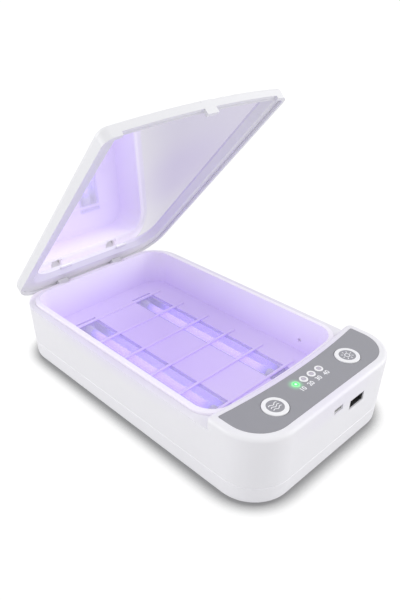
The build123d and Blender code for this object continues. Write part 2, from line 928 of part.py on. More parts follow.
def usb_a_tongue():
    """Plastic tongue on the upper side of the socket, with its rear block."""
    y0 = -half_length + port_recess
    y1 = y0 + usb_depth - usb_sheet
    half = usb_width / 2 - usb_sheet
    top = board_bottom - usb_sheet
    tongue = block(
        usb_x - half + 1, usb_x + half - 1, y0 + port_tongue_setback, y1,
        top - usb_tongue, top,
    )
    rear = block(
        usb_x - half, usb_x + half, y1 - usb_rear_block, y1,
        board_bottom - usb_height + usb_sheet, top,
    )
    return tongue + rear


def charge_tongue():
    y0 = -half_length + port_recess
    y1 = y0 + charge_depth - charge_sheet
    half = charge_width / 2 - charge_sheet
    middle = charge_bottom + charge_height / 2
    leaf = block(
        -half + 1, half - 1, y0 + port_tongue_setback, y1,
        middle - charge_leaf / 2, middle + charge_leaf / 2,
    )
    rear = block(
        -half, half, y1 - charge_rear_block, y1,
        charge_bottom + charge_sheet, charge_bottom + charge_height - charge_sheet,
    )
    return leaf + rear


# --- lamp driver and wiring ----------------------------------------------------
def inverter_board():
    half_x = inverter_length / 2
    half_y = inverter_width / 2
    board = block(
        -half_x, half_x, inverter_y - half_y, inverter_y + half_y,
        inverter_z, inverter_top,
    )
    for x, y in inverter_posts():
        board -= rod(x, y, inverter_z, inverter_top, board_screw_diameter + 2 * screw_relief)
    return board


def transformer():
    """Ferrite core with its winding bobbin standing on the driver board."""
    length, width, height = transformer_size
    x = transformer_x
    core = block(
        x - length / 2, x + length / 2, inverter_y - width / 2, inverter_y + width / 2,
        inverter_top, inverter_top + height,
    )
    core = chamfer(core.edges().filter_by(Axis.Z), 1)
    groove_half = length / 4
    for sign in (-1, 1):
        core -= block(
            x - groove_half, x + groove_half,
            inverter_y + sign * (width / 2 - 1), inverter_y + sign * (width / 2 + 1),
            inverter_top + 1, inverter_top + height - 1,
        )
    return core


def capacitor():
    can = rod(
        capacitor_x, inverter_y, inverter_top, inverter_top + capacitor_height,
        capacitor_diameter,
    )
    return fillet(can.faces().sort_by(Axis.Z)[-1].edges(), 0.6)


def wire_headers():
    """Plugs of the control wires on both boards."""
    length, width, height = header_size
    x0, x1 = header_x - length / 2, header_x + length / 2
    y0, y1 = header_y - width / 2, header_y + width / 2
    return [
        block(x0, x1, y0, y1, inverter_top, inverter_top + height),
        block(x0, x1, y0, y1, board_bottom - height, board_bottom),
    ]


def control_wires():
    height = header_size[2]
    wires = []
    for n in range(control_wire_count):
        x = header_x + (n - (control_wire_count - 1) / 2) * control_wire_pitch
        wires.append(
            rod(x, header_y, inverter_top + height, board_bottom - height, wire_diameter)
        )
    return wires


def lamp_wires():
    """A straight feed to each lamp's front end and a return round its back."""
    front, back = lamp_ends()
    start = inverter_y + inverter_width / 2 - wire_landing
    wires = []
    for side in (-1, 1):
        x = side * lamp_x
        wires.append(
            rod_y(x, start, front - lamp_cap_overhang, wire_height, wire_diameter)
        )
        lane = side * wire_lane_x
        end = back + lamp_cap_overhang
        path = FilletPolyline(
            (x, end, wire_height),
            (x, end + wire_turn, wire_height),
            (lane, end + wire_turn, wire_height),
            (lane, start, wire_height),
            (side * (inverter_length / 2 - 1), start, wire_height),
            radius=wire_bend,
        )
        profile = Plane(origin=path @ 0, z_dir=path % 0) * Circle(wire_diameter / 2)
        wires.append(sweep(profile, path=path))
    return wires


# --- screws and feet ------------------------------------------------------------
def cover_screws():
    seat = screw_recess + screw_head_height
    long_tip = liner_post_bottom + screw_post_length - 0.5
    front_tip = split_height + post_gap + screw_grip - 1
    ends = [(place, long_tip) for place in cover_screw_places()]
    ends += [(place, front_tip) for place in front_screw_places()]
    return [
        screw(x, y, seat, tip, screw_diameter, screw_head, screw_head_height)
        for (x, y), tip in ends
    ]


def board_screws():
    return [
        screw(
            x, y, board_bottom, board_top + board_screw_grip,
            board_screw_diameter, board_screw_head, board_screw_head_height,
        )
        for x, y in post_places()
    ]


def inverter_screws():
    return [
        screw(
            x, y, inverter_top, inverter_z - board_screw_grip,
            board_screw_diameter, board_screw_head, board_screw_head_height,
        )
        for x, y in inverter_posts()
    ]


def feet():
    pads = []
    for x, y in foot_places():
        pad = rod(x, y, -foot_proud, foot_thickness - foot_proud, foot_diameter)
        pads.append(fillet(pad.faces().sort_by(Axis.Z)[0].edges(), foot_round))
    return pads


# --- assembly ------------------------------------------------------------------
def each_side(maker):
    return [maker(-1), maker(1)]


body_pieces = {
    "upper_housing": upper_housing(),
    "bottom_cover": bottom_cover(),
    "chamber_liner": chamber_liner(),
    "rest_ribs": rest_ribs(),
    "aroma_felt": aroma_felt(),
    "lamp_tube_left": lamp_tube(-1),
    "lamp_tube_right": lamp_tube(1),
    "lamp_electrodes": lamp_electrodes(),
    "lamp_caps": lamp_caps(),
    "lamp_reflectors": lamp_reflectors(),
    "lamp_window_left": lamp_window(-1),
    "lamp_window_right": lamp_window(1),
    "hinge_brackets": each_side(hinge_bracket),
    "hinge_pins": each_side(hinge_pin),
    "control_panel": control_panel(),
    "button_cap_left": button_cap(-1),
    "button_cap_right": button_cap(1),
    "button_inlay_left": button_inlay(-1),
    "button_inlay_right": button_inlay(1),
    "tact_plunger_left": tact_plunger(-1),
    "tact_plunger_right": tact_plunger(1),
    "tact_switches": tact_switches(),
    "led_rings": [led_ring_piece(x) for x in led_places()],
    "led_lens_lit": led_pipe(led_places()[0]),
    "led_lenses": [led_pipe(x) for x in led_places()[1:]],
    "led_chips": led_chips(),
    "control_board": control_board(),
    "lid_sensor": lid_sensor_piece(),
    "usb_a_shell": port_shell(
        usb_x, usb_width, board_bottom - usb_height, usb_height, usb_depth, usb_sheet
    ),
    "usb_a_tongue": usb_a_tongue(),
    "charge_shell": port_shell(
        0, charge_width, charge_bottom, charge_height, charge_depth, charge_sheet
    ),
    "charge_tongue": charge_tongue(),
    "inverter_board": inverter_board(),
    "transformer": transformer(),
    "capacitor": capacitor(),
    "wire_headers": wire_headers(),
    "control_wires": control_wires(),
    "lamp_wires": lamp_wires(),
    "cover_screws": cover_screws(),
    "board_screws": board_screws(),
    "inverter_screws": inverter_screws(),
    "feet": feet(),
}
lid_pieces = {
    "lid_shell": lid_shell(),
    "lid_bezel": lid_bezel(),
    "lid_mirror": lid_mirror(),
    "lid_magnet": magnet_shape(),
    "hinge_arm_left": hinge_arm(-1),
    "hinge_arm_right": hinge_arm(1),
    "hinge_screws": hinge_screws(),
}


def whole(piece):
    """One shape out of a piece or a list of like pieces."""
    return Compound(children=piece) if isinstance(piece, list) else piece


os.makedirs("parts", exist_ok=True)
for node, piece in body_pieces.items():
    export_step(whole(piece), f"parts/{node}.step")
for node, piece in lid_pieces.items():
    export_step(swing_open(whole(piece)), f"parts/{node}.step")
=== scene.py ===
import json
import math

import bmesh
import bpy
from bpy.props import FloatProperty, FloatVectorProperty, IntProperty
from bpy.props import PointerProperty, StringProperty
from mathutils import Matrix, Vector

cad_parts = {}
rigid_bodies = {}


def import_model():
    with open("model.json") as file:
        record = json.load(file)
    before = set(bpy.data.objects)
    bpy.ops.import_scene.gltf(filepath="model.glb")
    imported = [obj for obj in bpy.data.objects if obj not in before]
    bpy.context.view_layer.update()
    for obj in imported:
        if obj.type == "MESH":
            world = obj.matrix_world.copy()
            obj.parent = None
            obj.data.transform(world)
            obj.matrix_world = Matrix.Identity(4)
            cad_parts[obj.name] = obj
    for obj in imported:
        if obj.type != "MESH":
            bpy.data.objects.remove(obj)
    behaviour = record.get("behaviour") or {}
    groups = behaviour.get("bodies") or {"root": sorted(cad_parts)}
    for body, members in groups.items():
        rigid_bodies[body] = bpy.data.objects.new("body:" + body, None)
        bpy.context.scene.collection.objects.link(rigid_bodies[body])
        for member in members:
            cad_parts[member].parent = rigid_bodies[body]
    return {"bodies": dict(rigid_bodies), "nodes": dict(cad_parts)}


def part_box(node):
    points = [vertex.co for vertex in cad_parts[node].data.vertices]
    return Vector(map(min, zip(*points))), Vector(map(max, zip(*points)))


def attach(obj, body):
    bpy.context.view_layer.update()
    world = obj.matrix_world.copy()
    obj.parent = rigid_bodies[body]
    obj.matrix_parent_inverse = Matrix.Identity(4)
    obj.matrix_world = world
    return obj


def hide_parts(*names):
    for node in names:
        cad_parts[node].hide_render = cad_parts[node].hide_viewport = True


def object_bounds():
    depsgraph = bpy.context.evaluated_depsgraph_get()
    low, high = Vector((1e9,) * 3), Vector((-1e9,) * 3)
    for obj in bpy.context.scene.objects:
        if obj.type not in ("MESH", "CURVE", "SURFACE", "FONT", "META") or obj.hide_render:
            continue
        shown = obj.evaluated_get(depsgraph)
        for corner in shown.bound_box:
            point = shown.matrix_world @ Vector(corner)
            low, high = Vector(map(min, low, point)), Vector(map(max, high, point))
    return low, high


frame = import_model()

CAD_BOX = [list(corner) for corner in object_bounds()]
NODES = frame["nodes"]
MM = 0.001
WELD = 1e-6
CREASE = math.radians(28)
LIGHT_COUNT = 4
BLACK = (0, 0, 0)
WHITE = (1, 1, 1)

bl_info = {
    "name": "Phone Sanitizer Box",
    "version": (1, 0, 0),
    "blender": (4, 5, 0),
    "location": "3D View > Sidebar > Sanitizer Box",
    "description": "Finishes the clamshell box: plastics, mirror, lamps, controls and stage",
    "category": "Object",
}


# --- sizes and colours that a user would change -------------------------------
def colour(name, description, default):
    return FloatVectorProperty(
        name=name, description=description, default=default,
        subtype="COLOR", size=3, min=0, max=1,
    )


def length(name, description, millimetres):
    return FloatProperty(
        name=name, description=description, default=millimetres * MM,
        unit="LENGTH", subtype="DISTANCE", precision=5, min=0,
    )


def angle(name, description, degrees):
    return FloatProperty(
        name=name, description=description, default=math.radians(degrees),
        subtype="ANGLE",
    )


def amount(name, description, default):
    return FloatProperty(name=name, description=description, default=default, min=0)


def count(name, description, default, least):
    return IntProperty(name=name, description=description, default=default, min=least)


class PlasticSettings(bpy.types.PropertyGroup):
    housing: colour("Housing", "Moulded shell and cover", (0.855, 0.85, 0.885))
    liner: colour("Liner", "Chamber walls and floor", (0.84, 0.82, 0.89))
    lid: colour("Lid", "Lid shell and hinge arms", (0.83, 0.83, 0.86))
    bezel: colour("Bezel", "Frame round the mirror", (0.8134, 0.8134, 0.8428))
    overlay: colour("Overlay", "Panel and button centres", (0.31, 0.31, 0.34))
    control: colour("Controls", "Button caps and light rings", (0.9, 0.9, 0.92))
    ink: colour("Ink", "Numbers and button signs", (0.9, 0.9, 0.93))
    grain: length("Grain", "Width of the moulded grain", 0.5)
    flow: length("Flow", "Width of the flow marks", 35.0)
    wear: length("Wear", "Width of the patches that handling leaves", 9.0)


class LightSettings(bpy.types.PropertyGroup):
    violet: colour("Violet", "Light of the lamps", (0.32, 0.20, 0.96))
    # haze, deep and rim are painted light: violet colour and glow laid on the chamber's
    # walls and floor and on the housing beside it, which are no lamps
    haze: colour("Haze", "Pale light in the chamber", (0.88, 0.73, 0.94))
    deep: colour("Deep", "Chamber floor under violet light", (0.56, 0.42, 0.84))
    rim: colour("Rim", "Housing beside the chamber", (0.74, 0.66, 0.93))
    charge: colour("Lit lens", "First light of the row", (0.10, 0.85, 0.22))
    lamp_strength: amount("Lamp strength", "Brightness of the lamp tubes", 1.6)
    # wall glow and rear glow are strengths of painted glow on surfaces that are no lamps
    wall_glow: amount("Wall glow", "Strength of the light in the chamber", 0.155)
    rear_glow: amount("Rear glow", "Light on the ledge by the hinge", 0.3)
    # core, reach and the rim entries set where that painted violet light is strongest and
    # where it fades
    core: length("Core", "Half width of the strongest violet", 15.0)
    reach: length("Reach", "Half width at which the violet is weakest", 65.0)
    rim_light_core: length("Rim core", "Half width of the strongest tint on the rim", 45.0)
    rim_light_reach: length("Rim reach", "Half width at which the rim has no tint", 85.0)
    rim_light_depth: length("Rim depth", "How far down the tint on the rim reaches", 12.0)
    lamp_end: length("Lamp end", "Length of the dim end of a tube", 16.0)
    lamp_tip: length("Lamp tip", "Length of the dimmest part of that end", 3.0)
    halo_reach: length("Halo reach", "How far the lit lens shines on the panel", 6.2)


class MirrorSettings(bpy.types.PropertyGroup):
    film: colour("Film", "Film at its haziest", (0.95, 0.955, 0.97))
    clear_film: colour("Clear film", "Film at its clearest", (0.99, 0.99, 1.0))
    # Tint and veil are painted reflections: lavender for the violet light that the right
    # part shows, and a pale glow that brightens the left part
    painted_violet: colour("Tint", "Lavender part of the film", (0.73, 0.66, 0.93))
    painted_reflection: colour("Veil", "Light that the clear part scatters", (0.9, 0.9, 0.78))
    painted_reflection_strength: amount("Veil strength", "Brightness of that light", 0.24)
    slant: amount("Slant", "Sideways lean of the tint, per unit of height", 0.73)
    violet_start: length("Tint start", "Where the tint begins", 8.0)
    violet_full: length("Tint full", "Where the tint is full", 78.0)
    spot_core: length("Spot core", "Radius of the strongest tint", 10.0)
    spot_reach: length("Spot reach", "Radius of the weakest tint", 60.0)


class DetailSettings(bpy.types.PropertyGroup):
    numbers: StringProperty(
        name="Numbers", description="One number for each light, from the left",
        default="10 20 30 40",
    )
    number_height: length("Number height", "Height of the numbers", 3.1)
    number_gap: length("Number gap", "From the lights to the numbers", 5.2)
    number_weight: length("Number weight", "Extra thickness of their lines", 0.09)
    print_rise: length("Print rise", "Thickness of the printed marks", 0.03)
    line_width: length("Line width", "Width of the lines in the button signs", 0.52)
    ray_count: count("Rays", "Rays in the sign of the lamp button", 8, 3)
    ray_length: length("Ray length", "Length of a ray", 1.3)
    ray_place: length("Ray place", "From the middle of the sign to a ray", 3.1)
    sun_radius: length("Sun radius", "Ring in the sign of the lamp button", 1.5)
    wave_count: count("Waves", "Lines in the sign of the scent button", 3, 1)
    wave_span: length("Wave span", "Length of a wavy line", 6.4)
    wave_height: length("Wave height", "Swing of a wavy line", 1.0)
    wave_gap: length("Wave gap", "From one wavy line to the next", 1.8)
    foot_diameter: length("Foot diameter", "Rubber foot", 11.0)
    foot_rings: count("Foot rings", "Raised rings under each foot", 3, 1)
    lens_radius: length("Lens radius", "Dome on each light", 1.4)
    lens_dome: length("Lens dome", "Rise of the domes over their rings", 0.3)
    chip_count: count("Resistors", "Small parts along the control board", 6, 1)
    chip_pitch: length("Resistor pitch", "From one resistor to the next", 8.0)


class StageSettings(bpy.types.PropertyGroup):
    azimuth: angle("Azimuth", "Camera direction round the box", -44.206)
    elevation: angle("Elevation", "Camera height as an angle", 36.991)
    distance: length("Distance", "Camera to the middle of the underside", 395.7)
    lens: amount("Lens", "Focal length in millimetres", 34.09)
    sensor: amount("Sensor", "Sensor width in millimetres", 36.0)
    shift_x: amount("Shift X", "Sideways crop", 0.0104)
    shift_y: amount("Shift Y", "Upward crop", 0.1231)
    clip_start: length("Clip start", "Nearest distance that the camera sees", 10.0)
    daylight: amount("Daylight", "Strength of the even light all round", 0.86)
    front_power: amount("Front power", "Watts of the front right lamp", 6.6)
    side_power: amount("Side power", "Watts of the rear left lamp", 5.0)
    lamp_size: length("Lamp size", "Side of each square lamp", 1000.0)
    floor: colour("Floor", "Paper under the box", (0.72, 0.72, 0.725))
    paper_white: colour("Paper white", "Paper as the camera sees it", (0.84, 0.84, 0.84))
    shadow: colour("Shadow", "Paper right beside the box", (0.16, 0.16, 0.165))
    shadow_reach: length("Shadow reach", "How far the soft shadow spreads", 13.0)
    floor_half: length("Floor half size", "Half the side of the floor", 8000.0)


def settings(name):
    return getattr(bpy.context.scene, name)


# --- node trees ---------------------------------------------------------------
class Value:
    """A node socket that takes part in Python arithmetic."""

    def __init__(self, tree, socket):
        self.tree = tree
        self.socket = socket

    def math(self, operation, *others):
        sockets = dict(enumerate((self, *others)))
        return self.tree.node("ShaderNodeMath", {"operation": operation}, sockets)

    def __add__(self, other):
        return self.math("ADD", other)

    def __sub__(self, other):
        return self.math("SUBTRACT", other)

    def __rsub__(self, other):
        return self.math("MULTIPLY", -1.0).math("ADD", other)

    def __mul__(self, other):
        return self.math("MULTIPLY", other)

    def __truediv__(self, other):
        return self.math("DIVIDE", other)

    __radd__ = __add__
    __rmul__ = __mul__

    def smooth(self, low, high):
        """0 below low, 1 above high, eased in between."""
        return self.tree.node(
            "ShaderNodeMapRange", {"interpolation_type": "SMOOTHSTEP"},
            {"Value": self, "From Min": low, "From Max": high},
        )

    def scaled(self, low, high):
        """From low at 0 to high at 1."""
        return self * (high - low) + low


class Tree:
    """Adds nodes to a node tree."""

    def __init__(self, tree):
        self.tree = tree

    def node(self, kind, options, sockets, output=0):
        made = self.tree.nodes.new(kind)
        for key, value in options.items():
            setattr(made, key, value)
        for key, value in sockets.items():
            self.feed(made.inputs[key], value)
        return Value(self, made.outputs[output])

    def feed(self, target, value):
        if isinstance(value, Value):
            self.tree.links.new(value.socket, target)
        elif target.type == "RGBA" and len(value) == 3:
            target.default_value = (*value, 1)
        else:
            target.default_value = value

    def mix(self, mask, first, second):
        """Blend of two colours by a mask."""
        return self.node(
            "ShaderNodeMix", {"data_type": "RGBA"}, {0: mask, 6: first, 7: second}, 2
        )

    def seen(self, glossy):
        """1 for what the camera or clear pieces look at, glossy for reflections."""
        rays = [
            self.node("ShaderNodeLightPath", {}, {}, f"Is {kind} Ray")
            for kind in ("Camera", "Transmission", "Glossy")
        ]
        return rays[0] + rays[1] + rays[2] * glossy


class Finish(Tree):
    """One material with its Principled shader."""

    def __init__(self, name):
        self.material = bpy.data.materials.new(name)
        self.material.use_nodes = True
        super().__init__(self.material.node_tree)
        self.shader = self.tree.nodes["Principled BSDF"]
        self.place = self.node("ShaderNodeTexCoord", {}, {}, "Object")

    def set(self, **sockets):
        for key, value in sockets.items():
            self.feed(self.shader.inputs[key.replace("_", " ").title()], value)
        return self

    def noise(self, size, detail=2.0, rough=0.5, where=None):
        """Noise from 0 to 1 whose features are about size metres across."""
        return self.node(
            "ShaderNodeTexNoise", {},
            {"Vector": where or self.place, "Scale": 1 / size, "Detail": detail,
             "Roughness": rough},
        )

    def cells(self, size):
        """Pits about size metres across."""
        return self.node(
            "ShaderNodeTexVoronoi", {"feature": "F1"},
            {"Vector": self.place, "Scale": 1 / size},
        )

    def stretch(self, x, y, z):
        """Object coordinates scaled per axis, for brushed or drawn surfaces."""
        return self.node(
            "ShaderNodeMapping", {}, {"Vector": self.place, "Scale": (x, y, z)}
        )

    def axis(self, letter):
        return self.node("ShaderNodeSeparateXYZ", {}, {"Vector": self.place}, letter)

    def distance(self, point, keep=(1, 1, 1)):
        """Distance to a point, with axes left out where keep is 0."""
        flat = self.node(
            "ShaderNodeVectorMath", {"operation": "MULTIPLY"}, {0: self.place, 1: keep}
        )
        target = tuple(p * k for p, k in zip(point, keep))
        return self.node(
            "ShaderNodeVectorMath", {"operation": "DISTANCE"}, {0: flat, 1: target},
            "Value",
        )

    def bump(self, height, depth, strength=1.0):
        """Normal from a height of 0 to 1 that stands for depth metres."""
        return self.node(
            "ShaderNodeBump", {},
            {"Height": height, "Distance": depth, "Strength": strength},
        )


class Recipe(Tree):
    """A Geometry Nodes tree that repeats the mesh it is given."""

    def __init__(self, name, **inputs):
        super().__init__(bpy.data.node_groups.new(name, "GeometryNodeTree"))
        face = self.tree.interface
        face.new_socket(
            "Geometry", in_out="INPUT", socket_type="NodeSocketGeometry"
        )
        self.keys = {}
        for label, kind in {**inputs, "material": "Material"}.items():
            made = face.new_socket(
                label, in_out="INPUT", socket_type="NodeSocket" + kind
            )
            self.keys[label] = made.identifier
        face.new_socket(
            "Geometry", in_out="OUTPUT", socket_type="NodeSocketGeometry"
        )
        self.entry = self.tree.nodes.new("NodeGroupInput")
        self.exit = self.tree.nodes.new("NodeGroupOutput")

    def input(self, label):
        return Value(self, self.entry.outputs[label])

    def repeat(self, points, form=None, turn=(0, 0, 0)):
        """A form, or else the given mesh, at each point."""
        return self.node(
            "GeometryNodeInstanceOnPoints", {},
            {"Points": points, "Instance": form or self.input("Geometry"),
             "Rotation": turn},
        )

    def centred(self, copies):
        """Copies moved to the place of the input named centre."""
        return self.node(
            "GeometryNodeTransform", {},
            {"Geometry": copies, "Translation": self.input("centre")},
        )

    def end(self, copies):
        """Make the copies real geometry, in the given material."""
        real = self.node("GeometryNodeRealizeInstances", {}, {"Geometry": copies})
        painted = self.node(
            "GeometryNodeSetMaterial", {},
            {"Geometry": real, "Material": self.input("material")},
        )
        self.feed(self.exit.inputs["Geometry"], painted)
        return self

    def make(self, name, form, finish, body, slot, **values):
        """Plain piece that the tree makes out of a base form."""
        base = loose(name + "_base", form)
        modifier = base.modifiers.new(name, "NODES")
        modifier.node_group = self.tree
        modifier[self.keys["material"]] = finish.material
        for label, value in values.items():
            modifier[self.keys[label]] = value
        mesh = evaluated(base)
        base.modifiers.remove(modifier)
        bpy.data.objects.remove(base)
        return carried(name, mesh, finish, body)


# --- pieces -------------------------------------------------------------------
def link(item):
    bpy.context.scene.collection.objects.link(item)
    return item


def meshed(name, form):
    """Mesh out of a bmesh, which is used up."""
    mesh = bpy.data.meshes.new(name)
    form.to_mesh(mesh)
    form.free()
    return mesh


def loose(name, form):
    """Object in the scene out of a bmesh."""
    return link(bpy.data.objects.new(name, meshed(name, form)))


def evaluated(item):
    """Plain mesh of an object with its modifiers, or of a text."""
    graph = bpy.context.evaluated_depsgraph_get()
    return bpy.data.meshes.new_from_object(item.evaluated_get(graph))


def carried(name, mesh, finish, body):
    """Piece that shows a mesh and rides on a body."""
    mesh.name = name
    mesh.materials.clear()
    mesh.materials.append(finish.material)
    made = link(bpy.data.objects.new(name, mesh))
    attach(made, body)
    return made


def shade(form, crease=CREASE):
    """Smooth over curves, sharp where faces meet at more than the crease angle."""
    for edge in form.edges:
        edge.smooth = edge.calc_face_angle(0) < crease
    for face in form.faces:
        face.smooth = True


def body_of(node):
    return next(
        name for name, empty in frame["bodies"].items() if NODES[node].parent is empty
    )


def skin(finish, *nodes):
    """Stand in for CAD nodes: welded copies, smooth over curves."""
    for node in nodes:
        form = bmesh.new()
        form.from_mesh(NODES[node].data)
        bmesh.ops.remove_doubles(form, verts=form.verts, dist=WELD)
        shade(form)
        name = node + "_skin"
        made = carried(name, meshed(name, form), finish, body_of(node))
        normals = made.modifiers.new("Even normals", "WEIGHTED_NORMAL")
        normals.keep_sharp = True
        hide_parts(node)


def paint(finish, *nodes):
    """Give CAD nodes a finish."""
    for node in nodes:
        slots = NODES[node].data.materials
        slots.clear()
        slots.append(finish.material)


def middle(node):
    low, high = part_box(node)
    return [(a + b) / 2 for a, b in zip(low, high)]


def moved(form, place):
    """The same form, shifted."""
    bmesh.ops.translate(form, vec=place, verts=form.verts)
    return form


def turned(profile, steps=48):
    """Closed form from a profile of (radius, height) turned about Z."""
    form = bmesh.new()
    line = [form.verts.new((radius, 0, height)) for radius, height in profile]
    edges = [form.edges.new(pair) for pair in zip(line, line[1:])]
    bmesh.ops.spin(
        form, geom=line + edges, cent=(0, 0, 0), axis=(0, 0, 1), angle=math.tau,
        steps=steps, use_merge=True,
    )
    bmesh.ops.remove_doubles(form, verts=form.verts, dist=WELD)
    bmesh.ops.recalc_face_normals(form, faces=form.faces)
    shade(form)
    return form


def slab(size, centre, rounding):
    """Block with rounded edges."""
    form = bmesh.new()
    bmesh.ops.create_cube(form, size=1.0)
    bmesh.ops.scale(form, vec=size, verts=form.verts)
    bmesh.ops.bevel(
        form, geom=form.edges[:], offset=rounding, segments=2, affect="EDGES",
        profile=0.5,
    )
    moved(form, centre)
    shade(form, math.radians(60))
    return form


# --- shared finishes ----------------------------------------------------------
DRAWN_LINES = 0.4 * MM
METAL_STAINS = 5 * MM


def tint(tone, factor):
    return tuple(min(1.0, part * factor) for part in tone)


def moulded(name, tone, rough=0.38, grain=None, depth=0.004, coat=0.0):
    """Injection-moulded plastic: flow marks, a grain of depth mm, handled gloss."""
    finish = Finish(name)
    plastic = settings("box_plastic")
    flow = finish.noise(plastic.flow, 3)
    fine = finish.noise(grain or plastic.grain, 2)
    wear = finish.noise(plastic.wear, 4, 0.6)
    surface = finish.mix(flow, tint(tone, 0.975), tint(tone, 1.02))
    finish.surface = finish.mix(wear * 0.25, surface, tint(tone, 0.95))
    return finish.set(
        base_color=finish.surface,
        roughness=wear.scaled(rough - 0.05, rough + 0.07) + fine * 0.03,
        coat_weight=coat,
        normal=finish.bump(fine, depth * MM),
    )


def metal(name, tone, rough=0.3, along=(1, 1, 30), depth=0.006):
    """Metal with lines of depth mm along the axis that is scaled least."""
    finish = Finish(name)
    lines = finish.noise(DRAWN_LINES, 3, where=finish.stretch(*along))
    stain = finish.noise(METAL_STAINS, 3)
    return finish.set(
        base_color=finish.mix(stain, tint(tone, 0.86), tint(tone, 1.05)),
        metallic=1.0,
        roughness=lines.scaled(rough - 0.08, rough + 0.1) + stain * 0.06,
        normal=finish.bump(lines, depth * MM),
    )


def rubber():
    finish = Finish("black_rubber")
    grain = finish.cells(0.35 * MM)
    dust = finish.noise(3 * MM, 4, 0.6)
    return finish.set(
        base_color=finish.mix(dust, (0.035, 0.035, 0.037), (0.085, 0.085, 0.085)),
        roughness=dust.scaled(0.62, 0.82),
        normal=finish.bump(grain, 0.03 * MM),
    )


# --- plastics and mirror ------------------------------------------------------
class BOX_OT_plastics(bpy.types.Operator):
    """Give the housing, cover, liner and lid their moulded plastics"""

    bl_idname = "sanitizer_box.plastics"
    bl_label = "Moulded Plastics"

    ABOVE_LINER = 4 * MM  # height over its rim at which the violet fades out
    LEDGE_FRONT = 8 * MM  # before the liner's rear edge, where the light begins
    LEDGE_REAR = 2 * MM  # behind that edge, where the light is full

    def execute(self, context):
        plastic = settings("box_plastic")
        light = settings("box_light")
        housing = moulded("housing_plastic", plastic.housing, 0.34, coat=0.15)
        self.painted_spill(housing, light)
        skin(housing, "upper_housing", "bottom_cover")
        lid = moulded("lid_plastic", plastic.lid, 0.32, coat=0.2)
        skin(lid, "lid_shell", "hinge_arm_left", "hinge_arm_right")
        bezel = moulded("bezel_plastic", plastic.bezel, 0.3, coat=0.2)
        skin(bezel, "lid_bezel")
        liner = moulded("liner_plastic", plastic.liner, 0.3, coat=0.2)
        self.painted_glow(liner, light)
        skin(liner, "chamber_liner", "rest_ribs")
        return {"FINISHED"}

    def painted_glow(self, liner, light):
        """Painted violet light on the chamber's walls and floor, which glow though they are
        no lamp: strongest low down, in the middle.
        """
        low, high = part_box("chamber_liner")
        down = 1 - liner.axis("Z").smooth(low[2], high[2] + self.ABOVE_LINER)
        away = liner.distance(middle("rest_ribs"), (1, 0.6, 0))
        mask = down * away.smooth(light.core, light.reach).scaled(1.0, 0.65)
        haze = liner.mix(down, tint(light.haze, 0.75), tuple(light.haze))
        liner.set(
            base_color=liner.mix(mask * 0.9, liner.surface, tuple(light.deep)),
            emission_color=liner.mix(mask, haze, tuple(light.violet)),
            emission_strength=light.wall_glow,
        )

    def painted_spill(self, housing, light):
        """Painted violet light on the housing's rim beside the chamber, in its base colour,
        and a painted glow on the rear ledge by the hinge, which lies in shade under the lid.
        """
        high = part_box("chamber_liner")[1]
        top = housing.axis("Z").smooth(high[2] - light.rim_light_depth, high[2])
        away = housing.distance(middle("chamber_liner"), (1, 0.55, 0))
        near = 1 - away.smooth(light.rim_light_core, light.rim_light_reach)
        rear = housing.axis("Y").smooth(
            high[1] - self.LEDGE_FRONT, high[1] + self.LEDGE_REAR
        )
        housing.set(
            base_color=housing.mix(top * near * 0.7, housing.surface, tuple(light.rim)),
            emission_color=housing.mix(top * rear, BLACK, tuple(light.haze)),
            emission_strength=light.rear_glow,
        )


class BOX_OT_mirror(bpy.types.Operator):
    """Give the lid's reflector its polished face"""

    bl_idname = "sanitizer_box.mirror"
    bl_label = "Lid Mirror"

    SPOT = (0.68, 0.40, 0.60)  # middle of the tint, as shares of the mirror's box

    def execute(self, context):
        mirror = settings("box_mirror")
        finish = Finish("reflector_film")
        haze = finish.noise(40 * MM, 3)
        fleck = finish.noise(2 * MM, 4, 0.7)
        low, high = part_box("lid_mirror")
        # Painted reflections: the film turns lavender towards the right, most round the
        # spot, and the left part has a pale painted glow.
        spot = [a + (b - a) * share for a, b, share in zip(low, high, self.SPOT)]
        near = 1 - finish.distance(spot).smooth(mirror.spot_core, mirror.spot_reach)
        across = finish.axis("X") + (finish.axis("Z") - low[2]) * mirror.slant
        side = across.smooth(mirror.violet_start, mirror.violet_full)
        film = finish.mix(haze, tuple(mirror.film), tuple(mirror.clear_film))
        finish.set(
            base_color=finish.mix(
                side * near.scaled(0.6, 0.95), film, tuple(mirror.painted_violet)
            ),
            metallic=1.0,
            roughness=haze.scaled(0.03, 0.07) + fleck * 0.02,
            emission_color=finish.mix(side, tuple(mirror.painted_reflection), BLACK),
            emission_strength=mirror.painted_reflection_strength,
            normal=finish.bump(haze, 0.05 * MM, 0.3),
        )
        skin(finish, "lid_mirror")
        return {"FINISHED"}


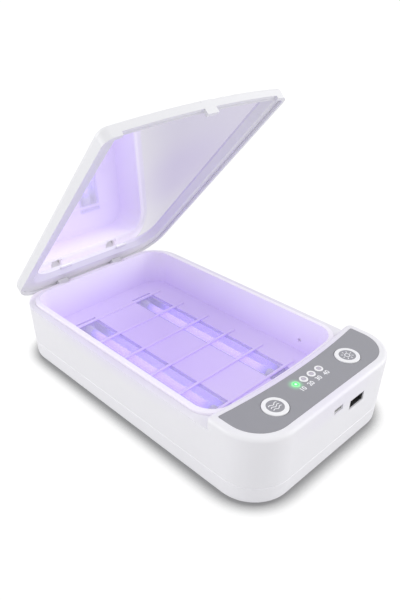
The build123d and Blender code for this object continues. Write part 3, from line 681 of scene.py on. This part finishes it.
# --- lamps --------------------------------------------------------------------
class BOX_OT_lamps(bpy.types.Operator):
    """Finish the tubes, their windows, reflectors and electrodes"""

    bl_idname = "sanitizer_box.lamps"
    bl_label = "Lamps"

    PANE_DIM, PANE_BRIGHT = -90 * MM, 110 * MM  # places along Y, of the panes' glow

    def execute(self, context):
        light = settings("box_light")
        skin(self.glass(light), "lamp_tube_left", "lamp_tube_right")
        paint(self.window(light), "lamp_window_left", "lamp_window_right")
        sheet = metal("reflector_sheet", (0.95, 0.95, 0.97), 0.36, (20, 1, 20), 0.002)
        skin(sheet, "lamp_reflectors")
        paint(metal("electrode", (0.6, 0.58, 0.55), 0.35), "lamp_electrodes")
        return {"FINISHED"}

    def glass(self, light):
        """Lit tube, dim towards its two ends."""
        tube = Finish("lamp_glass")
        low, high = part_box("lamp_tube_left")
        half = (high[1] - low[1]) / 2
        away = (tube.axis("Y") - (low[1] + half)).math("ABSOLUTE")
        ends = away.smooth(half - light.lamp_end, half - light.lamp_tip)
        bloom = tube.noise(6 * MM, 3)
        return tube.set(
            base_color=tube.mix(ends, (0.5, 0.5, 0.95), (0.45, 0.43, 0.6)),
            roughness=bloom.scaled(0.06, 0.16),
            emission_color=tube.mix(
                ends, tuple(light.violet), tint(light.violet, 0.15)
            ),
            emission_strength=light.lamp_strength,
            normal=tube.bump(bloom, 0.01 * MM),
        )

    def window(self, light):
        """Clear pane with a painted violet glow, which is stronger towards the hinge."""
        pane = Finish("window_clear")
        speck = pane.noise(3 * MM, 4, 0.65)
        rear = pane.axis("Y").smooth(self.PANE_DIM, self.PANE_BRIGHT)
        return pane.set(
            base_color=pane.mix(speck, (0.72, 0.68, 0.95), (0.8, 0.77, 0.98)),
            roughness=speck.scaled(0.03, 0.12),
            alpha=speck.scaled(0.25, 0.34),
            coat_weight=0.5,
            emission_color=pane.mix(
                rear, tint(light.violet, 0.2), tint(light.violet, 0.6)
            ),
            emission_strength=light.wall_glow,
            normal=pane.bump(speck, 0.01 * MM),
        )


# --- controls -----------------------------------------------------------------
class BOX_OT_controls(bpy.types.Operator):
    """Finish the panel, the buttons and the lights"""

    bl_idname = "sanitizer_box.controls"
    bl_label = "Panel and Buttons"

    # distances from the middle of the lit lens
    CORE_INNER, CORE_OUTER = 0.3 * MM, 1.2 * MM
    RING_INNER, RING_EDGE, RING_OUTER = 1.6 * MM, 2.2 * MM, 3.2 * MM

    SINK = 0.1 * MM  # of a dome into its lens

    def execute(self, context):
        plastic = settings("box_plastic")
        light = settings("box_light")
        lit = middle("led_lens_lit")
        panel = moulded("panel_overlay", plastic.overlay, 0.42, 0.25 * MM, 0.006)
        self.halo(panel, lit, light, self.RING_EDGE, light.halo_reach, 0.35)
        skin(panel, "control_panel", "button_inlay_left", "button_inlay_right")
        cap = moulded("control_white", plastic.control, 0.22, 0.3 * MM, 0.002, 0.4)
        skin(cap, "button_cap_left", "button_cap_right")
        ring = moulded("light_ring", plastic.control, 0.25, 0.3 * MM, 0.002, 0.4)
        # Painted green light: the ring is made green next to the lit lens, and glows there.
        away = ring.distance(lit, (1, 1, 0))
        near = 1 - away.smooth(self.RING_EDGE, self.RING_OUTER)
        ring.set(base_color=ring.mix(near, ring.surface, (0.30, 0.88, 0.38)))
        self.halo(ring, lit, light, self.RING_INNER, self.RING_OUTER, 0.3)
        skin(ring, "led_rings")
        self.lenses(self.green_lens(tuple(light.charge), lit), self.grey_lens())
        return {"FINISHED"}

    def halo(self, finish, lit, light, near, far, strength):
        """Painted green light round the lit lens, on surfaces that are no lamp."""
        painted_glow = 1 - finish.distance(lit, (1, 1, 0)).smooth(near, far)
        finish.set(
            emission_color=finish.mix(painted_glow * painted_glow, BLACK, tuple(light.charge)),
            emission_strength=strength,
        )

    def grey_lens(self):
        lens = Finish("grey_lens")
        cloud = lens.noise(0.8 * MM, 3)
        return lens.set(
            base_color=lens.mix(cloud, (0.42, 0.39, 0.46), (0.60, 0.56, 0.66)),
            roughness=cloud.scaled(0.12, 0.25),
            coat_weight=0.6,
            normal=lens.bump(cloud, 0.02 * MM),
        )

    def green_lens(self, charge, lit):
        """Lit lens with a white core, where the chip is."""
        lens = Finish("green_lens")
        away = lens.distance(lit, (1, 1, 0))
        core = 1 - away.smooth(self.CORE_INNER, self.CORE_OUTER)
        cloud = lens.noise(0.7 * MM, 2)
        return lens.set(
            base_color=lens.mix(cloud, tint(charge, 0.8), charge),
            roughness=cloud.scaled(0.15, 0.3),
            emission_color=lens.mix(core, tint(charge, 0.4), (0.9, 1.0, 0.9)),
            emission_strength=1.0,
        )

    def lenses(self, green, grey):
        """Domed lens on each light; the first one of the row is lit."""
        paint(green, "led_lens_lit")
        paint(grey, "led_lenses")
        detail = settings("box_detail")
        x, y = middle("led_lens_lit")[:2]
        low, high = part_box("led_lens_lit")
        others_low, others_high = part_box("led_lenses")
        width = high[0] - low[0]
        pitch = (others_high[0] - others_low[0] - width) / (LIGHT_COUNT - 2)
        row = row_recipe()
        for name, finish, slot, start, number in (
            ("lens_dome_lit", green, "lens_lit", x, 1),
            ("lens_domes", grey, "lens_grey", x + pitch, LIGHT_COUNT - 1),
        ):
            form = turned(dome(detail.lens_radius, detail.lens_dome), 32)
            moved(form, (start, y, high[2] - self.SINK))
            row.make(
                name, form, finish, "housing", slot, count=number, step=(pitch, 0, 0)
            )


def dome(radius, rise, steps=8):
    """Profile of a shallow dome with a straight skirt and a flat bottom."""
    quarter = [step * math.pi / 2 / steps for step in range(steps)]
    arc = [(radius * math.cos(t), rise * math.sin(t)) for t in quarter]
    return [(0, -rise / 2), (radius, -rise / 2), *arc, (0, rise)]


# --- repeated pieces ----------------------------------------------------------
def row_recipe():
    """Copies along a straight line."""
    recipe = Recipe("row", count="Int", step="Vector")
    points = recipe.node(
        "GeometryNodeMeshLine", {},
        {"Count": recipe.input("count"), "Offset": recipe.input("step")},
    )
    return recipe.end(recipe.repeat(points))


def corner_recipe():
    """Copies at the four corners of a rectangle."""
    recipe = Recipe("corners", width="Float", length="Float")
    points = recipe.node(
        "GeometryNodeMeshGrid", {},
        {"Size X": recipe.input("width"), "Size Y": recipe.input("length"),
         "Vertices X": 2, "Vertices Y": 2},
    )
    return recipe.end(recipe.repeat(points))


def ring_recipe():
    """Copies turned about a centre."""
    recipe = Recipe("ring", count="Int", centre="Vector")
    points = recipe.node("GeometryNodePoints", {}, {"Count": recipe.input("count")})
    index = recipe.node("GeometryNodeInputIndex", {}, {})
    turn = recipe.node(
        "ShaderNodeCombineXYZ", {}, {"Z": index * math.tau / recipe.input("count")}
    )
    return recipe.end(recipe.centred(recipe.repeat(points, turn=turn)))


def wave_recipe():
    """Wavy lines one above the other; the given mesh is not used."""
    recipe = Recipe(
        "waves", count="Int", span="Float", height="Float", width="Float",
        rise="Float", gap="Float", centre="Vector",
    )
    line = recipe.node("GeometryNodeCurvePrimitiveLine", {}, {"End": (1, 0, 0)})
    line = recipe.node(
        "GeometryNodeResampleCurve", {}, {"Curve": line, "Count": 25}
    )
    along = recipe.node("GeometryNodeSplineParameter", {}, {}, "Factor")
    swing = (along * 1.5 * math.tau).math("SINE") * recipe.input("height") / 2
    where = recipe.node(
        "ShaderNodeCombineXYZ", {},
        {"X": (along - 0.5) * recipe.input("span"), "Y": swing},
    )
    line = recipe.node(
        "GeometryNodeSetPosition", {}, {"Geometry": line, "Position": where}
    )
    section = recipe.node(
        "GeometryNodeCurvePrimitiveQuadrilateral", {},
        {"Width": recipe.input("width"), "Height": recipe.input("rise")},
    )
    solid = recipe.node(
        "GeometryNodeCurveToMesh", {},
        {"Curve": line, "Profile Curve": section, "Fill Caps": True},
    )
    gap = recipe.input("gap")
    half = (recipe.input("count") - 1) * gap / 2
    start = recipe.node("ShaderNodeCombineXYZ", {}, {"Y": half * -1.0})
    step = recipe.node("ShaderNodeCombineXYZ", {}, {"Y": gap})
    points = recipe.node(
        "GeometryNodeMeshLine", {},
        {"Count": recipe.input("count"), "Start Location": start, "Offset": step},
    )
    return recipe.end(recipe.centred(recipe.repeat(points, solid)))


# --- printed marks ------------------------------------------------------------
class BOX_OT_marks(bpy.types.Operator):
    """Print numbers by the lights and a plain sign on each button"""

    bl_idname = "sanitizer_box.marks"
    bl_label = "Printed Marks"

    FONT_SIZE = 1.35  # of the built-in font, for digits one unit high

    def execute(self, context):
        ink = moulded("white_ink", settings("box_plastic").ink, 0.5, 0.15 * MM, 0.002)
        detail = settings("box_detail")
        self.numbers(ink, detail)
        self.sun(ink, detail)
        self.waves(ink, detail)
        return {"FINISHED"}

    def numbers(self, ink, detail):
        low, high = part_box("led_rings")
        size = high[1] - low[1]
        pitch = (high[0] - low[0] - size) / (LIGHT_COUNT - 1)
        y = middle("led_rings")[1] - detail.number_gap
        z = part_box("control_panel")[1][2] + detail.print_rise / 2
        form = bmesh.new()
        for n, word in zip(range(LIGHT_COUNT), detail.numbers.split()):
            mesh = self.digits(word, detail)
            place = Vector((low[0] + size / 2 + n * pitch, y, z))
            mesh.transform(Matrix.Translation(place))
            form.from_mesh(mesh)
        name = "light_numbers"
        carried(name, meshed(name, form), ink, "housing")

    def digits(self, word, detail):
        text = bpy.data.curves.new("number", "FONT")
        text.body = word
        text.size = detail.number_height * self.FONT_SIZE
        text.extrude = detail.print_rise / 2
        text.offset = detail.number_weight
        text.align_x = "CENTER"
        text.align_y = "CENTER"
        item = link(bpy.data.objects.new("number", text))
        mesh = evaluated(item)
        bpy.data.objects.remove(item)
        return mesh

    def face(self, side):
        """Middle of a button's grey centre, at its top."""
        node = "button_inlay_" + side
        return *middle(node)[:2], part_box(node)[1][2]

    def sun(self, ink, detail):
        """Ring with rays: the lamp button."""
        top = self.face("right")
        rise, width, radius = detail.print_rise, detail.line_width, detail.sun_radius
        ray = slab(
            (detail.ray_length, width, rise), (detail.ray_place, 0, rise / 2), rise / 4
        )
        ring_recipe().make(
            "sign_rays", ray, ink, "button_right", "control_white",
            count=detail.ray_count, centre=top,
        )
        inner, outer = radius - width / 2, radius + width / 2
        profile = [(inner, 0), (outer, 0), (outer, rise), (inner, rise), (inner, 0)]
        ring = moved(turned(profile, 40), top)
        name = "sign_ring"
        carried(name, meshed(name, ring), ink, "button_right")

    def waves(self, ink, detail):
        """Wavy lines: the scent button."""
        x, y, top = self.face("left")
        wave_recipe().make(
            "sign_waves", bmesh.new(), ink, "button_left", "control_white",
            count=detail.wave_count, span=detail.wave_span, height=detail.wave_height,
            width=detail.line_width, rise=detail.print_rise, gap=detail.wave_gap,
            centre=(x, y, top + detail.print_rise / 2),
        )


# --- feet and contacts --------------------------------------------------------
class BOX_OT_feet(bpy.types.Operator):
    """Make the four ringed rubber feet"""

    bl_idname = "sanitizer_box.feet"
    bl_label = "Rubber Feet"

    GROOVE = 0.3 * MM
    RIM = 0.4 * MM

    def execute(self, context):
        detail = settings("box_detail")
        low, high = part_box("feet")
        diameter = detail.foot_diameter
        profile = self.profile(diameter / 2, low[2], high[2], detail.foot_rings)
        made = corner_recipe().make(
            "foot_pads", turned(profile, 64), rubber(), "housing", "rubber",
            width=high[0] - low[0] - diameter, length=high[1] - low[1] - diameter,
        )
        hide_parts("feet")
        return {"FINISHED"}

    def profile(self, radius, bottom, top, rings):
        """Flat seat, rounded rim, and raised rings on the sole."""
        rim, floor = self.RIM, bottom + self.GROOVE
        line = [
            (0, top), (radius, top), (radius, bottom + rim),
            (radius - rim * 0.3, bottom + rim * 0.3), (radius - rim, bottom),
        ]
        pitch = (radius - rim) / (rings + 0.5)
        for n in range(rings):
            outer = radius - rim - n * pitch
            line += [
                (outer - pitch * 0.45, bottom), (outer - pitch * 0.55, floor),
                (outer - pitch * 0.9, floor), (outer - pitch, bottom),
            ]
        return [*line, (0, bottom)]


class BOX_OT_contacts(bpy.types.Operator):
    """Lay the contact strips in both sockets"""

    bl_idname = "sanitizer_box.contacts"
    bl_label = "Socket Contacts"

    RISE = 0.12 * MM
    SETBACK = 0.5 * MM  # of the strips' ends from the tongue's free end
    SPREAD = 0.72  # of the tongue's width, from the first strip to the last
    FREE_END = 0.1 * MM  # length of tongue that counts as its free end

    def execute(self, context):
        gold = metal("contact_gold", (0.86, 0.66, 0.30), 0.22, (20, 1, 20), 0.002)
        self.strips(
            "usb_contacts", "usb_a_tongue", gold,
            number=4, width=1.1 * MM, reach=7.0 * MM,
        )
        self.strips(
            "charge_contacts", "charge_tongue", gold,
            number=5, width=0.35 * MM, reach=2.6 * MM,
        )
        return {"FINISHED"}

    def strips(self, name, node, gold, number, width, reach):
        """Row of strips along the underside of a tongue."""
        low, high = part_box(node)
        inner = (high[0] - low[0]) * self.SPREAD
        start = (
            middle(node)[0] - inner / 2, low[1] + reach / 2 + self.SETBACK,
            self.underside(node) - self.RISE / 2,
        )
        strip = slab((width, reach, self.RISE), start, self.RISE / 4)
        row_recipe().make(
            name, strip, gold, "housing", "socket_metal",
            count=number, step=(inner / (number - 1), 0, 0),
        )

    def underside(self, node):
        """Height of the lower face of a socket's tongue, near its free end."""
        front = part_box(node)[0][1]
        points = [vertex.co for vertex in NODES[node].data.vertices]
        return min(point.z for point in points if point.y < front + self.FREE_END)


class BOX_OT_components(bpy.types.Operator):
    """Solder small resistors along the control board"""

    bl_idname = "sanitizer_box.components"
    bl_label = "Board Components"

    ROW_PLACE = 5.0 * MM  # from the middle of the board, towards the front
    CHIP = Vector((1.6, 1.2, 0.6)) * MM
    PAD = Vector((0.5, 1.3, 0.5)) * MM
    PAD_SIDE, PAD_RISE = 1.0 * MM, 0.2 * MM  # from the chip's seat to a pad's middle

    def execute(self, context):
        detail = settings("box_detail")
        x, y = middle("control_board")[:2]
        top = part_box("control_board")[1][2]
        start = x - detail.chip_pitch * (detail.chip_count - 1) / 2
        seat = Vector((start, y - self.ROW_PLACE, top))
        ceramic = moulded("ceramic_chip", (0.05, 0.045, 0.05), 0.4, 0.15 * MM)
        tin = metal("solder_tin", (0.72, 0.72, 0.70), 0.3, (1, 1, 1), 0.004)
        chip = slab(self.CHIP, seat + Vector((0, 0, self.CHIP.z / 2)), 0.1 * MM)
        solder = bmesh.new()
        for side in (-1, 1):
            place = seat + Vector((side * self.PAD_SIDE, 0, self.PAD_RISE))
            solder.from_mesh(meshed("pad", slab(self.PAD, place, 0.12 * MM)))
        for name, form, finish, slot in (
            ("board_resistors", chip, ceramic, "socket_black"),
            ("board_solder", solder, tin, "socket_metal"),
        ):
            row_recipe().make(
                name, form, finish, "housing", slot,
                count=detail.chip_count, step=(detail.chip_pitch, 0, 0),
            )
        return {"FINISHED"}


# --- metal, boards and felt ---------------------------------------------------
class BOX_OT_hardware(bpy.types.Operator):
    """Finish the hinges, screws, sockets, boards, wires and felt"""

    bl_idname = "sanitizer_box.hardware"
    bl_label = "Hardware and Electronics"

    def execute(self, context):
        self.metals()
        self.mouldings()
        paint(self.board(), "control_board", "inverter_board")
        paint(self.felt(), "aroma_felt")
        return {"FINISHED"}

    def metals(self):
        steel = metal("hinge_steel", (0.72, 0.72, 0.74), 0.34, (1, 30, 30))
        paint(steel, "hinge_brackets")
        pin = metal("ground_pin", (0.7, 0.7, 0.72), 0.2, (30, 1, 1))
        skin(pin, "hinge_pins")
        paint(pin, "lid_magnet")
        screw = metal("plated_screw", (0.66, 0.66, 0.68), 0.25, (1, 1, 1))
        skin(screw, "cover_screws", "board_screws", "inverter_screws", "hinge_screws")
        nickel = metal("nickel_plate", (0.5, 0.5, 0.52), 0.25, (1, 20, 20))
        skin(nickel, "usb_a_shell")
        # The charge socket's shell is made pale to offset the shade inside the socket:
        # painted light.
        tin = metal("tin_plate", (0.95, 0.95, 0.96), 0.45, (1, 20, 20))
        skin(tin, "charge_shell")

    def mouldings(self):
        black = moulded("black_nylon", (0.02, 0.02, 0.023), 0.45, 0.2 * MM)
        paint(
            black, "usb_a_tongue", "tact_switches", "lid_sensor",
            "tact_plunger_left", "tact_plunger_right",
        )
        # Pale as the headers' own colour, and on the charge socket's tongue also painted
        # light against the shade in the socket.
        pale = moulded("pale_nylon", (0.8, 0.79, 0.76), 0.5, 0.2 * MM)
        paint(pale, "wire_headers", "charge_tongue")
        paint(moulded("chip_epoxy", (0.8, 0.72, 0.35), 0.3, 0.1 * MM), "led_chips")
        ferrite = moulded("ferrite", (0.06, 0.06, 0.065), 0.6, 0.3 * MM, 0.02)
        skin(ferrite, "transformer")
        skin(moulded("can_sleeve", (0.03, 0.035, 0.08), 0.3, 0.6 * MM), "capacitor")
        sleeve = moulded("wire_sleeve", (0.75, 0.75, 0.77), 0.4, 0.3 * MM)
        skin(sleeve, "control_wires", "lamp_wires")
        silicone = moulded("white_silicone", (0.78, 0.77, 0.8), 0.6, 0.3 * MM, 0.01)
        skin(silicone, "lamp_caps")

    def board(self):
        """Solder mask over copper tracks."""
        finish = Finish("board_mask")
        tracks = finish.node(
            "ShaderNodeTexBrick", {"offset": 0.5},
            {"Vector": finish.place, "Scale": 240.0, "Mortar Size": 0.05}, "Fac",
        )
        speck = finish.noise(0.5 * MM, 2)
        return finish.set(
            base_color=finish.mix(tracks, (0.015, 0.13, 0.05), (0.05, 0.28, 0.1)),
            roughness=speck.scaled(0.28, 0.4),
            normal=finish.bump(tracks, 0.03 * MM),
        )

    def felt(self):
        finish = Finish("felt_pad")
        fibres = finish.noise(0.25 * MM, 4, 0.75, finish.stretch(1, 3, 1))
        tuft = finish.noise(1.5 * MM, 3)
        return finish.set(
            base_color=finish.mix(fibres, (0.72, 0.71, 0.66), (0.9, 0.89, 0.84)),
            roughness=tuft.scaled(0.85, 1.0),
            normal=finish.bump(fibres, 0.2 * MM),
        )


# --- stage --------------------------------------------------------------------
class BOX_OT_stage(bpy.types.Operator):
    """Add the pale floor, the soft studio light and the camera"""

    bl_idname = "sanitizer_box.stage"
    bl_label = "Stage and Camera"

    FRONT_LAMP = (1.0, -0.9, 0.6)
    SIDE_LAMP = (-1.0, 0.8, 0.5)
    PAPER_MIRRORED = 0.1  # share of the paper's white that reflections show

    def execute(self, context):
        stage = settings("box_stage")
        self.floor(stage)
        self.daylight(stage)
        self.lamp("front_lamp", self.FRONT_LAMP, stage.lamp_size, stage.front_power)
        self.lamp("side_lamp", self.SIDE_LAMP, stage.lamp_size, stage.side_power)
        self.camera(stage)
        context.scene.view_settings.view_transform = "Standard"
        return {"FINISHED"}

    def floor(self, stage):
        """Paper that looks white and darkens softly right beside the box."""
        form = bmesh.new()
        bmesh.ops.create_grid(
            form, x_segments=1, y_segments=1, size=stage.floor_half
        )
        floor = loose("floor", moved(form, (0, 0, CAD_BOX[0][2])))
        paper = Finish("floor_paper")
        open_sky = paper.node(
            "ShaderNodeAmbientOcclusion", {"samples": 16},
            {"Distance": stage.shadow_reach}, "AO",
        )
        seen = paper.seen(self.PAPER_MIRRORED)
        white = paper.mix(
            open_sky.smooth(0.45, 0.95), tuple(stage.shadow), tuple(stage.paper_white)
        )
        paper.set(
            base_color=paper.mix(seen, tuple(stage.floor), tint(stage.floor, 0.25)),
            roughness=0.9,
            emission_color=paper.mix(seen, BLACK, white),
            emission_strength=1.0,
        )
        floor.data.materials.append(paper.material)

    def daylight(self, stage):
        """Even light all round; what is looked at directly is white."""
        world = bpy.data.worlds.new("studio")
        bpy.context.scene.world = world
        world.use_nodes = True
        sky = Tree(world.node_tree)
        background = world.node_tree.nodes["Background"]
        seen = sky.mix(sky.seen(1.0), tint(WHITE, stage.daylight), WHITE)
        sky.feed(background.inputs["Color"], seen)

    def lamp(self, name, place, size, power):
        """Square lamp that faces the box."""
        data = bpy.data.lights.new(name, "AREA")
        data.size = size
        data.energy = power
        self.aim(link(bpy.data.objects.new(name, data)), Vector(place))

    def camera(self, stage):
        data = bpy.data.cameras.new("camera")
        data.sensor_width = stage.sensor
        data.lens = stage.lens
        data.shift_x = stage.shift_x
        data.shift_y = stage.shift_y
        data.clip_start = stage.clip_start
        camera = link(bpy.data.objects.new("camera", data))
        back = Vector((
            math.sin(stage.azimuth) * math.cos(stage.elevation),
            -math.cos(stage.azimuth) * math.cos(stage.elevation),
            math.sin(stage.elevation),
        ))
        self.aim(camera, back * stage.distance)
        bpy.context.scene.camera = camera

    def aim(self, item, place):
        """Put a lamp or the camera at a place, facing the origin."""
        item.location = place
        item.rotation_mode = "QUATERNION"
        item.rotation_quaternion = place.to_track_quat("Z", "Y")


class BOX_PT_panel(bpy.types.Panel):
    """Lists the settings and the steps in the sidebar"""

    bl_idname = "BOX_PT_panel"
    bl_label = "Sanitizer Box"
    bl_space_type = "VIEW_3D"
    bl_region_type = "UI"
    bl_category = "Sanitizer Box"

    def draw(self, context):
        for group, kind in GROUPS.items():
            section = self.layout.box()
            for key in kind.__annotations__:
                section.prop(settings(group), key)
        for operator in OPERATORS:
            self.layout.operator(operator.bl_idname)


GROUPS = {
    "box_plastic": PlasticSettings,
    "box_light": LightSettings,
    "box_mirror": MirrorSettings,
    "box_detail": DetailSettings,
    "box_stage": StageSettings,
}
OPERATORS = (
    BOX_OT_plastics, BOX_OT_mirror, BOX_OT_lamps, BOX_OT_controls, BOX_OT_marks,
    BOX_OT_feet, BOX_OT_contacts, BOX_OT_components, BOX_OT_hardware, BOX_OT_stage,
)


def register():
    for group, kind in GROUPS.items():
        bpy.utils.register_class(kind)
        setattr(bpy.types.Scene, group, PointerProperty(type=kind))
    for made in (*OPERATORS, BOX_PT_panel):
        bpy.utils.register_class(made)


def unregister():
    for made in reversed((*OPERATORS, BOX_PT_panel)):
        bpy.utils.unregister_class(made)
    for group, kind in GROUPS.items():
        delattr(bpy.types.Scene, group)
        bpy.utils.unregister_class(kind)


def main():
    register()
    for operator in OPERATORS:
        category, name = operator.bl_idname.split(".")
        getattr(getattr(bpy.ops, category), name)()


if __name__ == "__main__":
    main()
